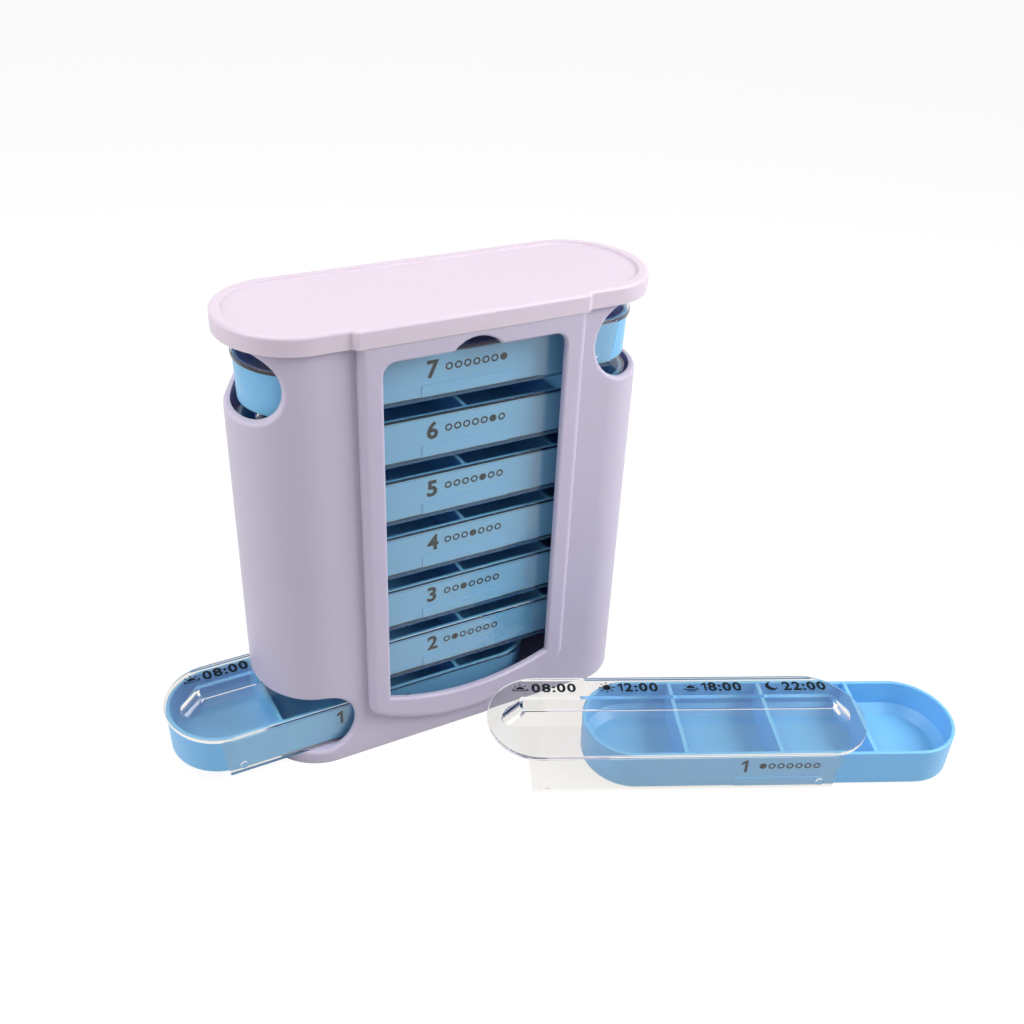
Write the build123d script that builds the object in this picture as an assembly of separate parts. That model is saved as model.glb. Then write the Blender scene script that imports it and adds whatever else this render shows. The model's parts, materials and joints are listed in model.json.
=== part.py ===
# Weekly pill organizer: a windowed tower of seven day trays, and one more tray lying in front of it.
# Millimetres, +Z up. The origin is on the floor at the middle of the tower, and the window faces -Y.
import os
from math import radians, tan

from build123d import *

os.makedirs("parts", exist_ok=True)

# The set
DAYS = ["monday", "tuesday", "wednesday", "thursday", "friday", "saturday", "sunday"]
COMPARTMENTS = 4

# Tray, measured at its rim
tray_half_length = 62.8
tray_half_width = 18.1
tray_end_bulge = 16.6
tray_height = 13.0
tray_wall = 1.3
tray_floor = 1.4
tray_draft_angle = 1.5
tray_rim_rounding = 0.4
tray_corner_bevel = 3.0
divider_thickness = 1.2
pad_width = 29.0
pad_height = 3.6
pad_depth = 0.25

# Cover
plate_thickness = 1.2
plate_end_overhang = 0.5
plate_end_bulge = 17.0
plate_edge_rounding = 0.3
skirt_clearance = 0.2
skirt_thickness = 0.8
skirt_setback = 12.3
skirt_end_slant = 2.0
plate_side_lip = 0.3
flange_thickness = 0.7
flange_reach = 2.3
slide_clearance = 0.15
nub_radius = 1.2
nub_height = 0.4
nub_inset = 4.4
nub_rise = 3.0

# Raised bar on the cover, which carries the next tray
stack_gap = 4.45
bar_base_half_width = 5.0
bar_top_half_width = 3.5
bar_end_setback = 4.5
bar_ramp_length = 6.0
bar_top_end_bulge = 1.0
bar_wall = 1.0

# Housing
housing_wall = 2.0
cavity_side_clearance = 1.0
cavity_end_clearance = 1.1
cavity_bulge_clearance = 0.3
base_height = 4.8
floor_thickness = 2.0
rib_thickness = 1.6
rib_spacing = 32.0
cross_ribs = 3
head_room = 4.6
rim_rounding = 1.2

# Front panel and window
panel_depth = 3.1
panel_edge_rounding = 2.4
panel_border = 6.8
panel_corner_drop = 4.6
panel_middle_drop = 9.9
panel_corner_radius = 6.0
window_half_width = 29.1
window_sill_rise = 1.8
window_sag = 5.5
window_head_rise = 1.3
window_corner_radius = 4.0
window_edge_rounding = 0.8
notch_half_width = 7.6
notch_rise = 3.5

# Openings in the housing's ends
slot_head_room = 1.2
slot_panel_clearance = 4.2
left_scallop_reach = 10.9
left_scallop_drop = 16.3
right_scallop_panel_clearance = 5.5
right_scallop_drop = 18.95

# Lid
lid_plate = 2.2
lid_height = 5.56
lid_overhang = 1.5
lid_bump_overhang = 0.1
lid_bump_side_overhang = 0.2
lid_bump_ramp = 1.2
lid_bump_corner_radius = 1.4
lid_skirt_clearance = 0.15
lid_rim_width = 3.0
lid_recess_depth = 0.7
lid_recess_rounding = 0.5
lid_edge_rounding = 1.0
lid_ring_clearance = 0.3
lid_ring_thickness = 1.2
lid_ring_height = 2.6
lid_seat_clearance = 0.1

# Where the trays lie
monday_out = 32.4
loose_x = 84.0
loose_y = -80.0
loose_turn = -25.0

# A cut runs this far past the faces that it goes through
past = 1.0

# A rounding leaves at least this much of the wall or step that it is cut into
rounding_margin = 0.2

# Places closer together than this are the same place
same_place = 0.01

# A box with this alignment stands on its own place
on_ground = (Align.CENTER, Align.CENTER, Align.MIN)

# Sizes that follow from the ones above
cover_height = plate_thickness + slide_clearance + tray_height + slide_clearance + flange_thickness
pitch = cover_height + stack_gap
skirt_inner = tray_half_width + skirt_clearance
skirt_outer = skirt_inner + skirt_thickness
plate_half_width = skirt_outer + plate_side_lip
plate_half_length = tray_half_length + plate_end_overhang
compartment_pitch = (2 * tray_half_length - tray_wall) / COMPARTMENTS
tray_bottom = flange_thickness + slide_clearance
bar_height = stack_gap + tray_bottom

cavity_half_length = plate_half_length + cavity_end_clearance
cavity_half_depth = plate_half_width + cavity_side_clearance
cavity_bulge = plate_end_bulge + cavity_bulge_clearance
housing_half_length = cavity_half_length + housing_wall
housing_half_depth = cavity_half_depth + housing_wall
housing_bulge = cavity_bulge + housing_wall
low_plate_top = base_height + cover_height
high_plate_top = low_plate_top + (len(DAYS) - 1) * pitch
wall_top = high_plate_top + bar_height + head_room
overall_height = wall_top + lid_plate
lid_bottom = overall_height - lid_height
panel_face = housing_half_depth + panel_depth
panel_half_width = window_half_width + panel_border
slot_reach = housing_half_length - panel_half_width - slot_panel_clearance
right_scallop_reach = housing_half_length - panel_half_width - right_scallop_panel_clearance
lid_bump_half_width = panel_half_width + lid_bump_side_overhang


def racetrack(half_length, half_depth, end_bulge):
    """An outline with two straight sides and two half-ellipses for its ends."""
    straight = half_length - end_bulge
    back = Line((straight, half_depth), (-straight, half_depth))
    left = EllipticalCenterArc((-straight, 0), end_bulge, half_depth, start_angle=90, arc_size=180)
    front = Line((-straight, -half_depth), (straight, -half_depth))
    right = EllipticalCenterArc((straight, 0), end_bulge, half_depth, start_angle=270, arc_size=180)
    return make_face([back, left, front, right])


def upright(face, height, base=0.0):
    """A solid with the face as its plan, from the base up by the height."""
    return extrude(Pos(0, 0, base) * face, amount=height)


def across(face, front, back):
    """A solid with the face as its front view, from y = front to y = back."""
    plane = Plane(origin=(0, front, 0), x_dir=(1, 0, 0), z_dir=(0, -1, 0))
    return extrude(plane * face, amount=front - back)


def tray_level(z, inset):
    """The tray's outline at a height under its rim, drawn in by the draft and by the inset."""
    drawn_in = inset - z * tan(radians(tray_draft_angle))
    outline = racetrack(tray_half_length - drawn_in, tray_half_width - drawn_in, tray_end_bulge - drawn_in)
    return Pos(0, 0, z) * outline


def tray():
    """One day tray, with its rim at z = 0 and its floor below."""
    bevel = min(tray_corner_bevel, (tray_height - tray_floor) / 2)
    floor_z = tray_floor - tray_height
    outer = loft([tray_level(-tray_height, 0), tray_level(0, 0)], ruled=True)
    shell = outer - loft([tray_level(floor_z, tray_wall + bevel), tray_level(floor_z + bevel, tray_wall),
                          tray_level(0, tray_wall)], ruled=True)
    rim = shell.faces().sort_by(Axis.Z)[-1]
    shell = fillet(rim.edges(), min(tray_rim_rounding, tray_wall / 3))
    mid_wall = tray_wall / 2
    middle = loft([tray_level(floor_z - tray_floor / 2, mid_wall), tray_level(0, mid_wall)], ruled=True)
    for number in range(1, COMPARTMENTS):
        x = (number - COMPARTMENTS / 2) * compartment_pitch
        slab = Pos(x, 0, -tray_height / 2) * Box(divider_thickness, 2 * tray_half_width, tray_height)
        shell += slab & middle
    proud = loft([tray_level(-tray_height, -pad_depth), tray_level(0, -pad_depth)], ruled=True)
    band = Pos(0, 0, -tray_height) * Box(pad_width, 2 * tray_half_width + past, pad_height, align=on_ground)
    return shell + ((band & proud) - outer)


def bar(inset, base, height):
    """The raised bar's tapering form, smaller all round by the inset."""
    base_half = plate_half_length - bar_end_setback - inset
    base_width = bar_base_half_width - inset
    top_width = bar_top_half_width - inset
    low = racetrack(base_half, base_width, base_width)
    high = racetrack(base_half - bar_ramp_length, top_width, min(bar_top_end_bulge, top_width))
    return loft([Pos(0, 0, base) * low, Pos(0, 0, height) * high], ruled=True)


def cover():
    """One clear cover, with the top of its plate at z = 0."""
    outline = racetrack(plate_half_length, plate_half_width, plate_end_bulge)
    part = extrude(outline, amount=-plate_thickness)
    part = fillet(part.faces().sort_by(Axis.Z)[-1].edges(), min(plate_edge_rounding, plate_thickness / 3))
    part += bar(0, 0, bar_height)
    part -= bar(bar_wall, -plate_thickness, bar_height - bar_wall)
    top_half = plate_half_length - skirt_setback
    low_half = top_half - skirt_end_slant
    skirt_height = cover_height - plate_thickness / 2
    low_z = -cover_height
    side_view = make_face(Polyline((-top_half, low_z + skirt_height), (top_half, low_z + skirt_height),
                                   (low_half, low_z), (-low_half, low_z), close=True))
    for side in (-1, 1):
        faces = sorted((side * skirt_inner, side * skirt_outer))
        part += across(side_view, *faces)
        edges = sorted((side * (skirt_inner - flange_reach), side * skirt_outer))
        part += (Pos(0, (edges[0] + edges[1]) / 2, low_z + flange_thickness / 2)
                 * Box(2 * low_half, edges[1] - edges[0], flange_thickness))
        for end in (-1, 1):
            spot = Pos(end * (low_half - nub_inset), side * skirt_outer, low_z + nub_rise)
            part += spot * Rot(90, 0, 0) * Cylinder(nub_radius, 2 * min(nub_height, skirt_thickness / 2))
    return part


def window_view(border, corner_z, middle_z, top_z, radius):
    """The window's outline as seen from the front, wider all round by the border."""
    half = window_half_width + border
    sill = ThreePointArc((-half, corner_z), (0, middle_z), (half, corner_z))
    sides = Polyline((half, corner_z), (half, top_z), (-half, top_z), (-half, corner_z))
    face = make_face([sill] + list(sides.edges()))
    low = face.vertices().sort_by(Axis.Y)[:2] if border else face.vertices().sort_by(Axis.Y)[2:]
    return fillet(low, radius)


def end_cut(side, reach, low_z, high_z):
    """A round-nosed cut from one end of the housing, straight through from front to back."""
    radius = (high_z - low_z) / 2
    middle_z = (high_z + low_z) / 2
    end = side * (housing_half_length + past)
    start = side * (housing_half_length - reach + radius)
    view = Pos((start + end) / 2, middle_z) * Rectangle(abs(end - start), 2 * radius)
    view += Pos(start, middle_z) * Circle(radius)
    return across(view, -panel_face - past, housing_half_depth + past)


def housing_cuts():
    """The tray's slot at the lower left, and the finger cut-outs at the upper ends."""
    slot_top = low_plate_top + bar_height + slot_head_room
    return [end_cut(-1, slot_reach, base_height, slot_top),
            end_cut(-1, left_scallop_reach, high_plate_top - left_scallop_drop, lid_bottom),
            end_cut(1, right_scallop_reach, high_plate_top - right_scallop_drop, lid_bottom)]


def rounded_rims(body, cuts, radius):
    """The body after the cuts, with the cuts' edges on its outer faces rounded."""
    for cut in cuts:
        whole = body - cut
        rims = new_edges(body, cut, combined=whole)
        # The straight edges that run from front to back through the solid aren't rims.
        longest = 2 * housing_half_depth - past
        rims = ShapeList(edge for edge in rims if abs((edge @ 1 - edge @ 0).Y) < longest)
        body = fillet(rims, radius)
    return body


def housing():
    """The tower's shell, with its floor, panel, window and end openings."""
    window_corner = low_plate_top + window_sill_rise
    window_top = high_plate_top + window_head_rise
    body = upright(racetrack(housing_half_length, housing_half_depth, housing_bulge), wall_top)
    panel_view = window_view(panel_border, window_corner - panel_corner_drop,
                             window_corner - window_sag - panel_middle_drop,
                             lid_bottom - lid_seat_clearance, panel_corner_radius)
    panel = across(panel_view, -panel_face, -cavity_half_depth)
    front_edges = panel.faces().sort_by(Axis.Y)[0].edges().sort_by(Axis.Z)[:-1]
    panel = fillet(front_edges, min(panel_edge_rounding, panel_depth - rounding_margin))
    body += panel
    body = rounded_rims(body, housing_cuts(), min(rim_rounding, housing_wall - rounding_margin))

    view = window_view(0, window_corner, window_corner - window_sag, window_top, window_corner_radius)
    notch_radius = (notch_half_width ** 2 + notch_rise ** 2) / (2 * notch_rise)
    notch = Pos(0, window_top + notch_rise - notch_radius) * Circle(notch_radius)
    notch &= Pos(0, window_top) * Rectangle(2 * notch_half_width + past, 2 * notch_rise + past)
    view += notch
    window = across(view, -panel_face - past, -cavity_half_depth + past)
    whole = body - window
    front = ShapeList(edge for edge in new_edges(body, window, combined=whole)
                      if abs(edge.center().Y + panel_face) < same_place)
    body = fillet(front, min(window_edge_rounding, housing_wall / 2))

    cavity = racetrack(cavity_half_length, cavity_half_depth, cavity_bulge)
    body -= upright(cavity, wall_top - base_height + past, base_height)
    body -= upright(cavity, base_height - floor_thickness + past, -past)
    rib_height = base_height - floor_thickness / 2
    ribs = Box(2 * cavity_half_length, rib_thickness, rib_height, align=on_ground)
    for number in range(cross_ribs):
        x = (number - (cross_ribs - 1) / 2) * rib_spacing
        ribs += Pos(x, 0, 0) * Box(rib_thickness, 2 * cavity_half_depth, rib_height, align=on_ground)
    body += upright(cavity, floor_thickness, base_height - floor_thickness)
    body += ribs & upright(cavity, base_height)
    pocket_view = window_view(panel_border - housing_wall, window_corner - panel_corner_drop + housing_wall,
                              window_corner - window_sag - panel_middle_drop + housing_wall,
                              lid_bottom - housing_wall, panel_corner_radius - housing_wall / 2)
    body -= across(pocket_view, -panel_face + housing_wall, -cavity_half_depth + past)
    return body


def lid_outline(grow):
    """The lid's plan: the housing's outline and the panel's bump with sloped ends, grown by the amount."""
    plan = racetrack(housing_half_length + lid_overhang + grow, housing_half_depth + lid_overhang + grow,
                     housing_bulge + lid_overhang + grow)
    step = panel_depth + lid_bump_overhang - lid_overhang
    front = panel_face + lid_bump_overhang + grow
    front_end = lid_bump_half_width + grow
    foot_end = front_end + lid_bump_ramp
    plan += Polygon((-foot_end, 0), (-foot_end, step - front), (-front_end, -front), (front_end, -front),
                    (foot_end, step - front), (foot_end, 0), align=None)
    corners = plan.vertices().filter_by_position(Axis.Y, -front - past, step - front + same_place)
    corners = corners.filter_by_position(Axis.X, -foot_end - same_place, foot_end + same_place)
    return fillet(corners, min(lid_bump_corner_radius, (step + lid_bump_ramp - rounding_margin) / 2))


def lid():
    """The cap, which laps over the housing's wall and sits on its top."""
    part = upright(lid_outline(0), lid_height, lid_bottom)
    top_rounding = min(lid_edge_rounding, (lid_plate - rounding_margin) / 2)
    part = fillet(part.faces().sort_by(Axis.Z)[-1].edges(), top_rounding)
    inset = lid_overhang - lid_rim_width
    recess_outline = racetrack(housing_half_length + inset, housing_half_depth + inset, housing_bulge + inset)
    recess = upright(recess_outline, lid_recess_depth + past, overall_height - lid_recess_depth)
    part -= fillet(recess.faces().sort_by(Axis.Z)[0].edges(), min(lid_recess_rounding, lid_recess_depth))
    skirt = lid_overhang - lid_skirt_clearance
    part -= upright(lid_outline(-skirt), lid_height - lid_plate + past, lid_bottom - past)
    outer = racetrack(cavity_half_length - lid_ring_clearance, cavity_half_depth - lid_ring_clearance,
                      cavity_bulge - lid_ring_clearance)
    gap = lid_ring_clearance + lid_ring_thickness
    inner = racetrack(cavity_half_length - gap, cavity_half_depth - gap, cavity_bulge - gap)
    part += upright(outer - inner, lid_ring_height + lid_plate / 2, wall_top - lid_ring_height)
    return part


def save(name, shape):
    """Writes one node and says how large it is."""
    box = shape.bounding_box()
    print(f"{name}: {len(shape.solids())} solid, {shape.volume:.0f} mm3,"
          f" z {box.min.Z:.2f} to {box.max.Z:.2f}, valid {shape.is_valid}")
    export_step(shape, f"parts/{name}.step")


one_tray = tray()
one_cover = cover()
rim_below_top = plate_thickness + slide_clearance

save("housing", housing())
save("lid", lid())
for number, day in enumerate(DAYS):
    x = -monday_out if number == 0 else 0
    plate_top = low_plate_top + number * pitch
    save(f"{day}_tray", Pos(x, 0, plate_top - rim_below_top) * one_tray)
    save(f"{day}_cover", Pos(x, 0, plate_top) * one_cover)

loose_place = Pos(loose_x, loose_y, 0) * Rot(0, 0, loose_turn)
save("loose_tray", loose_place * Pos(0, 0, cover_height - rim_below_top) * one_tray)
save("loose_cover", loose_place * Pos(-compartment_pitch, 0, cover_height) * one_cover)

print(f"overall height {overall_height:.2f}, lid bottom {lid_bottom:.2f}, pitch {pitch:.2f},"
      f" housing {2 * housing_half_length:.1f} by {2 * housing_half_depth:.1f}")
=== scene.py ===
# Weekly pill organizer: a windowed tower of day trays under clear covers, and one tray lying in front.
import json

import bmesh
import bpy
import numpy as np
from mathutils import Matrix, Vector

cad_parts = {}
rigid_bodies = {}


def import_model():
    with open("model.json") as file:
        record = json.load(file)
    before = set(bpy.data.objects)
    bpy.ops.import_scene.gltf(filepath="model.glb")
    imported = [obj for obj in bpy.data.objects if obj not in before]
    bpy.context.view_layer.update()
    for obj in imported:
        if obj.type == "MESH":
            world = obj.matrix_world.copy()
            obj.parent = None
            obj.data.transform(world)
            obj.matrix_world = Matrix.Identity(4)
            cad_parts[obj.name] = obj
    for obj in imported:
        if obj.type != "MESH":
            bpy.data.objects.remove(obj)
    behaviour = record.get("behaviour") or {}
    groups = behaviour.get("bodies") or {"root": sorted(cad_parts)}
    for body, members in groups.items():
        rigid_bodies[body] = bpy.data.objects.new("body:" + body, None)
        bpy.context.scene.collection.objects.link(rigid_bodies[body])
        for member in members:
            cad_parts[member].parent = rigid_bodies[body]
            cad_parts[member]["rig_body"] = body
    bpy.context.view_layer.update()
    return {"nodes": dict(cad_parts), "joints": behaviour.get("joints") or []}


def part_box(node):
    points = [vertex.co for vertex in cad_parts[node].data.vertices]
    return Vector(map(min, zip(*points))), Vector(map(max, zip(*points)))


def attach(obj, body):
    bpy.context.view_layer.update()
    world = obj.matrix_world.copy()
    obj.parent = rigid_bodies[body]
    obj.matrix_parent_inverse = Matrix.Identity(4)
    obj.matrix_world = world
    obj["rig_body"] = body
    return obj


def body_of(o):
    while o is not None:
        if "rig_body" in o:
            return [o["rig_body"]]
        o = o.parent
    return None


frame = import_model()
MM = 0.001

# Housing
# One injection-moulded shell in grey-lavender polypropylene. The mould was fine-sparked, so the skin is
# satin, with a faint grain and a slow unevenness where the plastic cooled. The real grain is finer than
# 0.1 mm, and is drawn coarser so that it shows.
HOUSING_HEX = "#C6BDD0"
HOUSING_SHADE_HEX = "#C0B7CA"
HOUSING_ROUGHNESS = 0.42
HOUSING_GRAIN_DEEP_MM = 0.02
HOUSING_GLOW = 0.4
HOUSING_GLOW_REACH_MM = (3.0, 2.4, 3.8)
POLYPROPYLENE_IOR = 1.49
GRAIN_MM = 0.25
GRAIN_DETAIL = 3.0
GRAIN_UNEVEN = 0.6
GRAIN_STRENGTH = 0.5
FLOW_MM = 60.0
FLOW_DETAIL = 2.0
FLOW_UNEVEN = 0.5


def linear(text):
    """The linear colour of an sRGB hex value, by the piecewise sRGB curve."""
    value = np.array([int(text[i:i + 2], 16) / 255 for i in (1, 3, 5)])
    low = value / 12.92
    high = ((value + 0.055) / 1.055) ** 2.4
    return (*np.where(value <= 0.04045, low, high), 1.0)


def node(tree, kind, settings=None, inputs=None):
    """Adds a node, sets its properties, and fills or links its inputs."""
    made = tree.nodes.new(kind)
    for key, value in (settings or {}).items():
        setattr(made, key, value)
    for key, value in (inputs or {}).items():
        if isinstance(value, bpy.types.NodeSocket):
            tree.links.new(value, made.inputs[key])
        else:
            made.inputs[key].default_value = value
    return made


def start_material(name):
    """An empty node material with its output node."""
    made = bpy.data.materials.new(name)
    made.use_nodes = True
    made.node_tree.nodes.clear()
    return made, made.node_tree, node(made.node_tree, "ShaderNodeOutputMaterial")


def moulded_plastic(name, hex_light, hex_dark, roughness, grain_deep, glow, glow_reach):
    """Satin moulded plastic: two close tones in slow noise, a fine grain in the bump, and a glow inside."""
    made, tree, output = start_material(name)
    place = node(tree, "ShaderNodeTexCoord")
    slow = node(tree, "ShaderNodeTexNoise", inputs={
        "Vector": place.outputs["Object"], "Scale": 1 / (FLOW_MM * MM), "Detail": FLOW_DETAIL,
        "Roughness": FLOW_UNEVEN})
    tone = node(tree, "ShaderNodeMix", {"data_type": "RGBA"}, {
        "Factor": slow.outputs["Fac"], "A": linear(hex_light), "B": linear(hex_dark)})
    grain = node(tree, "ShaderNodeTexNoise", inputs={
        "Vector": place.outputs["Object"], "Scale": 1 / (GRAIN_MM * MM), "Detail": GRAIN_DETAIL,
        "Roughness": GRAIN_UNEVEN})
    bump = node(tree, "ShaderNodeBump", inputs={
        "Height": grain.outputs["Fac"], "Distance": grain_deep * MM, "Strength": GRAIN_STRENGTH})
    shader = node(tree, "ShaderNodeBsdfPrincipled", inputs={
        "Base Color": tone.outputs["Result"], "Roughness": roughness, "IOR": POLYPROPYLENE_IOR,
        "Normal": bump.outputs["Normal"], "Subsurface Weight": glow, "Subsurface Radius": glow_reach,
        "Subsurface Scale": MM})
    tree.links.new(shader.outputs["BSDF"], output.inputs["Surface"])
    return made


def dress(name, made):
    """Gives a CAD node its material."""
    piece = frame["nodes"][name]
    piece.data.materials.clear()
    piece.data.materials.append(made)


housing_plastic = moulded_plastic("satin_polypropylene_lavender", HOUSING_HEX, HOUSING_SHADE_HEX,
                                  HOUSING_ROUGHNESS, HOUSING_GRAIN_DEEP_MM, HOUSING_GLOW,
                                  HOUSING_GLOW_REACH_MM)
dress("housing", housing_plastic)

# Lid
# The same polypropylene in a paler lot, moulded as a shallow cap with a raised rim round its top. It is
# only pressed on: a ring inside its skirt sits in the housing, and it lifts straight off.
LID_HEX = "#DACCD9"
LID_SHADE_HEX = "#D5C6D4"
LID_ROUGHNESS = 0.40
LID_GRAIN_DEEP_MM = 0.02
LID_GLOW = 0.3
LID_GLOW_REACH_MM = (2.0, 1.6, 2.2)
lid_plastic = moulded_plastic("satin_polypropylene_pale", LID_HEX, LID_SHADE_HEX, LID_ROUGHNESS,
                              LID_GRAIN_DEEP_MM, LID_GLOW, LID_GLOW_REACH_MM)
dress("lid", lid_plastic)

# Trays
# Sky-blue polypropylene, moulded in one piece with three dividers. The walls are thin enough to glow a
# little where light falls on their other side.
TRAY_HEX = "#7DBFEA"
TRAY_SHADE_HEX = "#77B9E6"
TRAY_ROUGHNESS = 0.38
TRAY_GRAIN_DEEP_MM = 0.015
TRAY_GLOW = 0.35
TRAY_GLOW_REACH_MM = (1.0, 1.4, 3.0)
DAYS = ["monday", "tuesday", "wednesday", "thursday", "friday", "saturday", "sunday"]
PLACES = DAYS + ["loose"]
tray_plastic = moulded_plastic("satin_polypropylene_sky_blue", TRAY_HEX, TRAY_SHADE_HEX, TRAY_ROUGHNESS,
                               TRAY_GRAIN_DEEP_MM, TRAY_GLOW, TRAY_GLOW_REACH_MM)
for place in PLACES:
    dress(f"{place}_tray", tray_plastic)

# Covers
# Clear polystyrene, moulded with a polished surface: a plate with a hollow raised bar, and a skirt down
# each long side. Light passes with a faint warm tint, and the edges catch it. The index is drawn a
# little lower than the real 1.59, which would throw more mirror images into the hollow bar than the
# photograph shows.
CLEAR_HEX = "#ECE9E5"
PASSED_HEX = "#FFFFFF"
CLEAR_ROUGHNESS = 0.02
CLEAR_IOR = 1.45
SURFACES_BENT = 1.5


def clear_plastic():
    """Polished clear plastic that bends and mirrors what is seen, and lets the light of lamps and walls by.

    A ray that has met two surfaces goes straight on, so that the hollow bar shows no mirror images.
    """
    made, tree, output = start_material("clear_polystyrene")
    shader = node(tree, "ShaderNodeBsdfPrincipled", inputs={
        "Base Color": linear(CLEAR_HEX), "Roughness": CLEAR_ROUGHNESS, "IOR": CLEAR_IOR,
        "Transmission Weight": 1.0})
    path = node(tree, "ShaderNodeLightPath")
    passing = node(tree, "ShaderNodeMath", {"operation": "MAXIMUM"}, {
        0: path.outputs["Is Shadow Ray"], 1: path.outputs["Is Diffuse Ray"]})
    inside = node(tree, "ShaderNodeMath", {"operation": "GREATER_THAN"}, {
        0: path.outputs["Ray Depth"], 1: SURFACES_BENT})
    passing = node(tree, "ShaderNodeMath", {"operation": "MAXIMUM"}, {
        0: passing.outputs[0], 1: inside.outputs[0]})
    light_through = node(tree, "ShaderNodeBsdfTransparent", inputs={"Color": linear(PASSED_HEX)})
    mix = node(tree, "ShaderNodeMixShader", inputs={
        0: passing.outputs[0], 1: shader.outputs["BSDF"], 2: light_through.outputs[0]})
    tree.links.new(mix.outputs[0], output.inputs["Surface"])
    return made


cover_plastic = clear_plastic()
for place in PLACES:
    dress(f"{place}_cover", cover_plastic)

# Prints
# Pad-printed ink in one dark tone, a few hundredths of a millimetre thick. Each tray's front wall has its
# day's number and seven rings, that day's filled. Each cover has its four times of day, as a sign and a
# clock time.
INK_HEX = "#121A20"
INK_THIN_HEX = "#1A242B"
INK_SHEEN = 0.1
INK_UNEVEN_MM = 0.5
INK_UNEVEN_DETAIL = 2.0
INK_ROUGHNESS = 0.7
INK_IOR = 1.4
INK_THICK_MM = 0.05
MERGE_SHARE = 0.02
CAP_SHARE = 0.69
BOLD_SHARE = 0.045
FIGURE_GAP = 0.13
FIGURE_STEPS = 4
ARC_STEPS = 28
FLAGGED_ONE = np.array([
    [0.26, 0], [0.44, 0], [0.44, 1], [0.3, 1], [0.04, 0.82], [0.04, 0.62], [0.26, 0.75]])
DAY_WIDE_MM = 26.0
DAY_HIGH_MM = 5.2
DAY_BELOW_RIM_MM = 2.0
RING_MM = 1.2
RING_HOLE_MM = 0.68
RING_PITCH_MM = 2.95
TIME_HIGH_MM = 4.1
TIME_BACK_MM = 12.0
TIME_OFFSETS_MM = (-43.4, -14.5, 14.5, 43.4)
TIMES = (("sunrise", "08:00"), ("noon", "12:00"), ("sunset", "18:00"), ("moon", "22:00"))
SIGN_MM = 1.4
SIGN_WIDE_MM = 6.6
SIGN_MIDDLE_SHARE = 0.42
RAY_NEAR = 1.35
RAY_FAR = 1.95
RAY_FAR_AT_DUSK = 1.65
RAY_WIDE = 0.3
RAY_TURN = 45
HALF_SUN_STEPS = 16
HALF_SUN_DROP = 0.5
SECOND_GROUND_SHARE = 0.6
SECOND_GROUND_DROP = 0.6
CRESCENT_OUTER = 1.55
CRESCENT_INNER = 1.25
CRESCENT_APART = 0.8
CRESCENT_LEAN = np.radians(35)
GROUND = np.array([[-1.95, -0.6], [1.95, -0.6], [1.95, -0.3], [-1.95, -0.3]])
TRAY_DRAFT = np.radians(1.5)
PLATE_OVER_RIM_MM = 1.35


def printing_ink():
    """Matte dark ink that covers a little unevenly, and mirrors a fifth of what its index would give."""
    made, tree, output = start_material("pad_printed_ink")
    place = node(tree, "ShaderNodeTexCoord")
    uneven = node(tree, "ShaderNodeTexNoise", inputs={
        "Vector": place.outputs["Object"], "Scale": 1 / (INK_UNEVEN_MM * MM), "Detail": INK_UNEVEN_DETAIL})
    tone = node(tree, "ShaderNodeMix", {"data_type": "RGBA"}, {
        "Factor": uneven.outputs["Fac"], "A": linear(INK_HEX), "B": linear(INK_THIN_HEX)})
    shader = node(tree, "ShaderNodeBsdfPrincipled", inputs={
        "Base Color": tone.outputs["Result"], "Roughness": INK_ROUGHNESS, "IOR": INK_IOR,
        "Specular IOR Level": INK_SHEEN})
    tree.links.new(shader.outputs["BSDF"], output.inputs["Surface"])
    return made


def filled(curve):
    """The closed form of a filled 2D curve, as points in mm and faces, with z through the ink."""
    curve.dimensions = "2D"
    curve.fill_mode = "BOTH"
    curve.extrude = INK_THICK_MM / 2
    holder = bpy.data.objects.new("print_form", curve)
    bpy.context.scene.collection.objects.link(holder)
    flat = bpy.data.meshes.new_from_object(holder.evaluated_get(bpy.context.evaluated_depsgraph_get()))
    form = bmesh.new()
    form.from_mesh(flat)
    bmesh.ops.remove_doubles(form, verts=form.verts, dist=INK_THICK_MM * MERGE_SHARE)
    bmesh.ops.recalc_face_normals(form, faces=form.faces)
    form.to_mesh(flat)
    form.free()
    points = np.empty(len(flat.vertices) * 3)
    flat.vertices.foreach_get("co", points)
    faces = [tuple(face.vertices) for face in flat.polygons]
    bpy.data.objects.remove(holder)
    bpy.data.curves.remove(curve)
    bpy.data.meshes.remove(flat)
    return points.reshape(-1, 3), faces


def cut_out(loops):
    """A form from closed loops of points, where a loop inside another is a hole."""
    curve = bpy.data.curves.new("cut_out", "CURVE")
    curve.dimensions = "2D"
    for loop in loops:
        spline = curve.splines.new("POLY")
        spline.points.add(len(loop) - 1)
        rows = np.column_stack([loop, np.zeros(len(loop)), np.ones(len(loop))])
        spline.points.foreach_set("co", rows.ravel())
        spline.use_cyclic_u = True
    return filled(curve)


def arc(radius, start=0.0, end=360.0, steps=ARC_STEPS, centre=0.0):
    """Points on an arc: (centre + radius cos a, radius sin a), with a from start to end in degrees."""
    angles = np.radians(np.linspace(start, end, steps, endpoint=abs(end - start) < 360))
    return np.column_stack([centre + radius * np.cos(angles), radius * np.sin(angles)])


def ray(angle, near, far, wide):
    """A bar from one distance to another along a line out of the sign's centre."""
    out = np.array([np.cos(np.radians(angle)), np.sin(np.radians(angle))])
    side = np.array([-out[1], out[0]]) * wide / 2
    return np.array([out * near - side, out * far - side, out * far + side, out * near + side])


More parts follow.
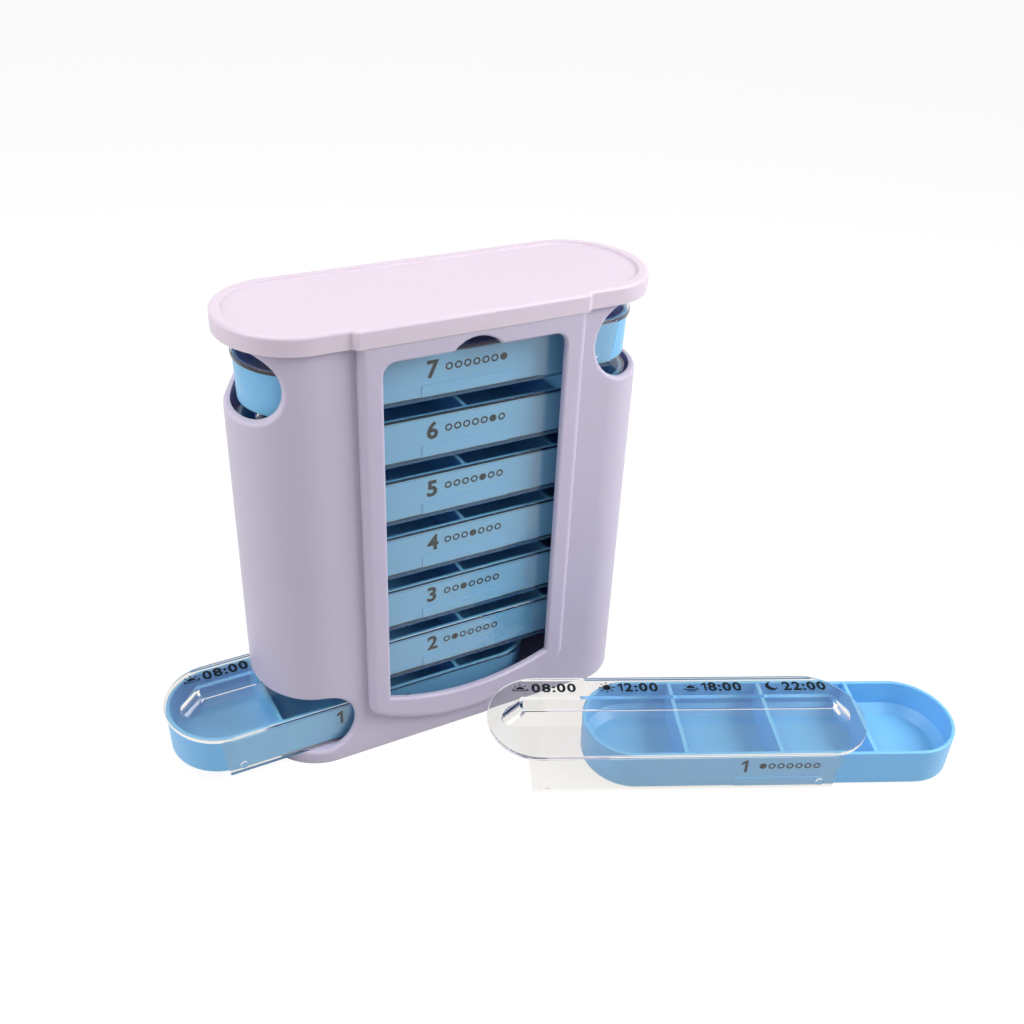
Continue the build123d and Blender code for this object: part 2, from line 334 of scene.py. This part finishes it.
def sign(kind):
    """A time of day: a half sun over the ground, a whole sun, a half sun with short rays, or a crescent.

    Its sizes are shares of the sun's radius. The crescent is a circle less another one beside it, and the
    cosine rule on their radii and the distance between their centres gives the angle of its tips.
    """
    if kind == "moon":
        across = CRESCENT_OUTER ** 2 + CRESCENT_APART ** 2 - CRESCENT_INNER ** 2
        tip = np.arccos(across / (2 * CRESCENT_OUTER * CRESCENT_APART))
        inner = np.arctan2(CRESCENT_OUTER * np.sin(tip), CRESCENT_OUTER * np.cos(tip) - CRESCENT_APART)
        tip, inner = np.degrees(tip), np.degrees(inner)
        outside = arc(CRESCENT_OUTER, tip, 360 - tip)
        inside = arc(CRESCENT_INNER, 360 - inner, inner, centre=CRESCENT_APART)[1:-1]
        cos, sin = np.cos(CRESCENT_LEAN), np.sin(CRESCENT_LEAN)
        return cut_out([SIGN_MM * np.concatenate([outside, inside]) @ np.array([[cos, sin], [-sin, cos]])])
    if kind == "noon":
        loops = [arc(1.0)] + [ray(angle, RAY_NEAR, RAY_FAR, RAY_WIDE) for angle in range(0, 360, RAY_TURN)]
        return cut_out([SIGN_MM * loop for loop in loops])
    far = RAY_FAR if kind == "sunrise" else RAY_FAR_AT_DUSK
    loops = [arc(1.0, 0, 180, HALF_SUN_STEPS), GROUND]
    loops += [ray(angle, RAY_NEAR, far, RAY_WIDE) for angle in range(0, 181, RAY_TURN)]
    if kind == "sunset":
        loops.append(GROUND * (SECOND_GROUND_SHARE, 1) - (0, SECOND_GROUND_DROP))
    return cut_out([SIGN_MM * (loop - (0, HALF_SUN_DROP)) for loop in loops])


def set_out(forms):
    """Several forms, each shifted by its own (x, y) in mm, as one list of points and one of faces."""
    points, faces, count = [], [], 0
    for (form_points, form_faces), shift in forms:
        points.append(form_points + (*shift, 0.0))
        faces += [tuple(count + corner for corner in face) for face in form_faces]
        count += len(form_points)
    return np.concatenate(points), faces


def figure(character, high):
    """One figure of a cap height on y = 0: a flagged bar for the 1, and a plain typeface for the rest."""
    if character == "1":
        return cut_out([FLAGGED_ONE * high])
    curve = bpy.data.curves.new("figure", "FONT")
    curve.body = character
    curve.size = high / CAP_SHARE
    curve.offset = high * BOLD_SHARE
    curve.resolution_u = FIGURE_STEPS
    return filled(curve)


def figures(text, high):
    """Figures of one cap height side by side with even gaps, from x = 0, standing on y = 0."""
    forms, reach = [], 0.0
    for character in text:
        points, faces = figure(character, high)
        forms.append(((points, faces), (reach - points[:, 0].min(), 0.0)))
        reach += np.ptp(points[:, 0]) + FIGURE_GAP * high
    return set_out(forms)


def day_row(day):
    """A digit and seven rings in a row, centred on x = 0 with the digit standing on y = 0."""
    forms = [(figures(str(day), DAY_HIGH_MM), (-DAY_WIDE_MM / 2, 0.0))]
    for other in range(1, len(DAYS) + 1):
        loops = [arc(RING_MM)] if other == day else [arc(RING_MM), arc(RING_HOLE_MM)]
        across = DAY_WIDE_MM / 2 - RING_MM - (len(DAYS) - other) * RING_PITCH_MM
        forms.append((cut_out(loops), (across, DAY_HIGH_MM / 2)))
    return set_out(forms)


def time_row():
    """The four signs with their clock times, each pair centred over its own stretch of the plate."""
    forms = []
    for (kind, clock), offset in zip(TIMES, TIME_OFFSETS_MM):
        clock_form = figures(clock, TIME_HIGH_MM)
        wide = clock_form[0][:, 0].max() + SIGN_WIDE_MM
        start = offset - wide / 2
        sign_middle = (start + SIGN_WIDE_MM * SIGN_MIDDLE_SHARE, TIME_BACK_MM + TIME_HIGH_MM / 2)
        forms.append((sign(kind), sign_middle))
        forms.append((clock_form, (start + SIGN_WIDE_MM, TIME_BACK_MM)))
    return set_out(forms)


def print_on(node_name, title, points, faces, height):
    """Lays a print, with x along the piece and y across it in mm, at a height over a CAD node's middle."""
    low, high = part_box(node_name)
    middle = (low + high) / 2
    along = np.array(loose_line if node_name.startswith("loose") else (1.0, 0.0))
    x, y, z = points.T * MM
    placed = np.column_stack([
        middle.x + along[0] * x - along[1] * y, middle.y + along[1] * x + along[0] * y, height + z])
    mesh = bpy.data.meshes.new(title)
    mesh.from_pydata(placed.tolist(), [], faces)
    mesh.materials.append(ink)
    piece = bpy.data.objects.new(title, mesh)
    bpy.context.scene.collection.objects.link(piece)
    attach(piece, body_of(frame["nodes"][node_name])[0])


ink = printing_ink()
loose_line = next(joint["axis"] for joint in frame["joints"] if joint["name"] == "loose_cover_slide")[:2]
side_low, side_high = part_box("tuesday_tray")
rim_half_mm = (side_high.y - side_low.y) / 2 / MM
for number, place in enumerate(PLACES):
    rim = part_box(f"{place}_tray")[1].z
    points, faces = day_row(1 if place == "loose" else number + 1)
    down = DAY_BELOW_RIM_MM + DAY_HIGH_MM - points[:, 1]
    wall = rim_half_mm - down * np.tan(TRAY_DRAFT)
    upright = np.column_stack([points[:, 0], -wall - points[:, 2], -down])
    print_on(f"{place}_tray", f"{place}_day_print", upright, faces, rim)
    points, faces = time_row()
    print_on(f"{place}_cover", f"{place}_time_print", points, faces, rim + PLATE_OVER_RIM_MM * MM)

# Floor and background
# A plain white sweep that keeps a soft shadow of the object, in a white room. What is seen or mirrored is
# white, with a ceiling that darkens upwards, and the light that falls on the object is dimmer than that.
FLOOR_SIZE = 6.0
FLOOR_SHADE = (0.15, 0.15, 0.15, 1.0)
FLOOR_MATTE = (0.5, 0.5, 0.51, 1.0)
FLOOR_GLOW = 0.90
WHITE = (1.0, 1.0, 1.0, 1.0)
FILL = (0.97, 0.98, 1.0, 1.0)
FILL_GLOW = 0.36
CEILING_STARTS = 0.45
CEILING_ENDS = 0.75
CEILING_GLOW = 0.55


def white_backdrop():
    """White to the camera, to gloss and to clear plastic, and a pale matte sheet to every other ray."""
    made, tree, output = start_material("white_backdrop")
    path = node(tree, "ShaderNodeLightPath")
    seen = node(tree, "ShaderNodeMath", {"operation": "MAXIMUM"}, {
        0: path.outputs["Is Camera Ray"], 1: path.outputs["Is Glossy Ray"]})
    seen = node(tree, "ShaderNodeMath", {"operation": "MAXIMUM"}, {
        0: seen.outputs[0], 1: path.outputs["Is Transmission Ray"]})
    lit = node(tree, "ShaderNodeBsdfDiffuse", inputs={"Color": FLOOR_SHADE})
    glow = node(tree, "ShaderNodeEmission", inputs={"Color": WHITE, "Strength": FLOOR_GLOW})
    both = node(tree, "ShaderNodeAddShader", inputs={0: lit.outputs[0], 1: glow.outputs[0]})
    matte = node(tree, "ShaderNodeBsdfDiffuse", inputs={"Color": FLOOR_MATTE})
    mix = node(tree, "ShaderNodeMixShader", inputs={
        0: seen.outputs[0], 1: matte.outputs[0], 2: both.outputs[0]})
    tree.links.new(mix.outputs[0], output.inputs["Surface"])
    return made


bpy.ops.mesh.primitive_plane_add(size=FLOOR_SIZE)
floor = bpy.context.object
floor.name = "floor"
floor.data.materials.append(white_backdrop())

world = bpy.data.worlds.new("studio")
bpy.context.scene.world = world
world.use_nodes = True
sky = world.node_tree
sky.nodes.clear()
path = node(sky, "ShaderNodeLightPath")
reflected = node(sky, "ShaderNodeMath", {"operation": "MAXIMUM"}, {
    0: path.outputs["Is Glossy Ray"], 1: path.outputs["Is Transmission Ray"]})
direction = node(sky, "ShaderNodeTexCoord")
towards = node(sky, "ShaderNodeSeparateXYZ", inputs={0: direction.outputs["Generated"]})
ceiling = node(sky, "ShaderNodeMapRange", inputs={
    "Value": towards.outputs["Z"], "From Min": CEILING_STARTS, "From Max": CEILING_ENDS, "To Min": 1.0,
    "To Max": CEILING_GLOW})
fill = node(sky, "ShaderNodeBackground", inputs={"Color": FILL, "Strength": FILL_GLOW})
tent = node(sky, "ShaderNodeBackground", inputs={"Color": WHITE, "Strength": ceiling.outputs["Result"]})
white = node(sky, "ShaderNodeBackground", inputs={"Color": WHITE, "Strength": 1.0})
inside = node(sky, "ShaderNodeMixShader", inputs={
    0: reflected.outputs[0], 1: fill.outputs[0], 2: tent.outputs[0]})
mix = node(sky, "ShaderNodeMixShader", inputs={
    0: path.outputs["Is Camera Ray"], 1: inside.outputs[0], 2: white.outputs[0]})
node(sky, "ShaderNodeOutputWorld", inputs={"Surface": mix.outputs[0]})

# Lights
# Three soft area lamps, as round a product light tent: the key on the right in front, one overhead, and one
# on the left.
LAMPS = (
    # name, place, target, size, watts
    ("key", (0.42, -0.33, 0.45), (0, 0, 0.08), 0.32, 3.5),
    ("top", (-0.28, 0.02, 0.65), (-0.05, 0, 0.05), 0.4, 1.8),
    ("side", (-0.8, 0.0, 0.45), (0, 0, 0.08), 0.4, 2.7),
)


def soft_lamp(name, place, target, size, watts):
    """An area lamp at a place, turned to face a target."""
    lamp = bpy.data.lights.new(name, "AREA")
    lamp.size = size
    lamp.energy = watts
    holder = bpy.data.objects.new(name, lamp)
    bpy.context.scene.collection.objects.link(holder)
    holder.location = place
    holder.rotation_euler = (Vector(target) - Vector(place)).to_track_quat("-Z", "Y").to_euler()


for lamp_settings in LAMPS:
    soft_lamp(*lamp_settings)

# Camera
# Low on the left of the window, looking down, where the photograph was taken from.
CAMERA_PLACE = (-0.13512, -0.28561, 0.26386)
CAMERA_TURN = 0.517
CAMERA_DIP = 0.546
CAMERA_ROLL = 0.044
LENS_MM = 39.43
FILM_MM = 36.0
NEAREST = 0.01
forward = Vector((np.sin(CAMERA_TURN) * np.cos(CAMERA_DIP), np.cos(CAMERA_TURN) * np.cos(CAMERA_DIP),
                  -np.sin(CAMERA_DIP)))
level = Vector((np.cos(CAMERA_TURN), -np.sin(CAMERA_TURN), 0))
upward = level.cross(forward)
right = np.cos(CAMERA_ROLL) * level + np.sin(CAMERA_ROLL) * upward
up = np.cos(CAMERA_ROLL) * upward - np.sin(CAMERA_ROLL) * level
lens = bpy.data.cameras.new("camera")
lens.lens = LENS_MM
lens.sensor_width = FILM_MM
lens.clip_start = NEAREST
camera = bpy.data.objects.new("camera", lens)
bpy.context.scene.collection.objects.link(camera)
turn = Matrix((right, up, -forward)).transposed().to_4x4()
camera.matrix_world = Matrix.Translation(CAMERA_PLACE) @ turn
bpy.context.scene.camera = camera
bpy.context.scene.view_settings.view_transform = "Standard"
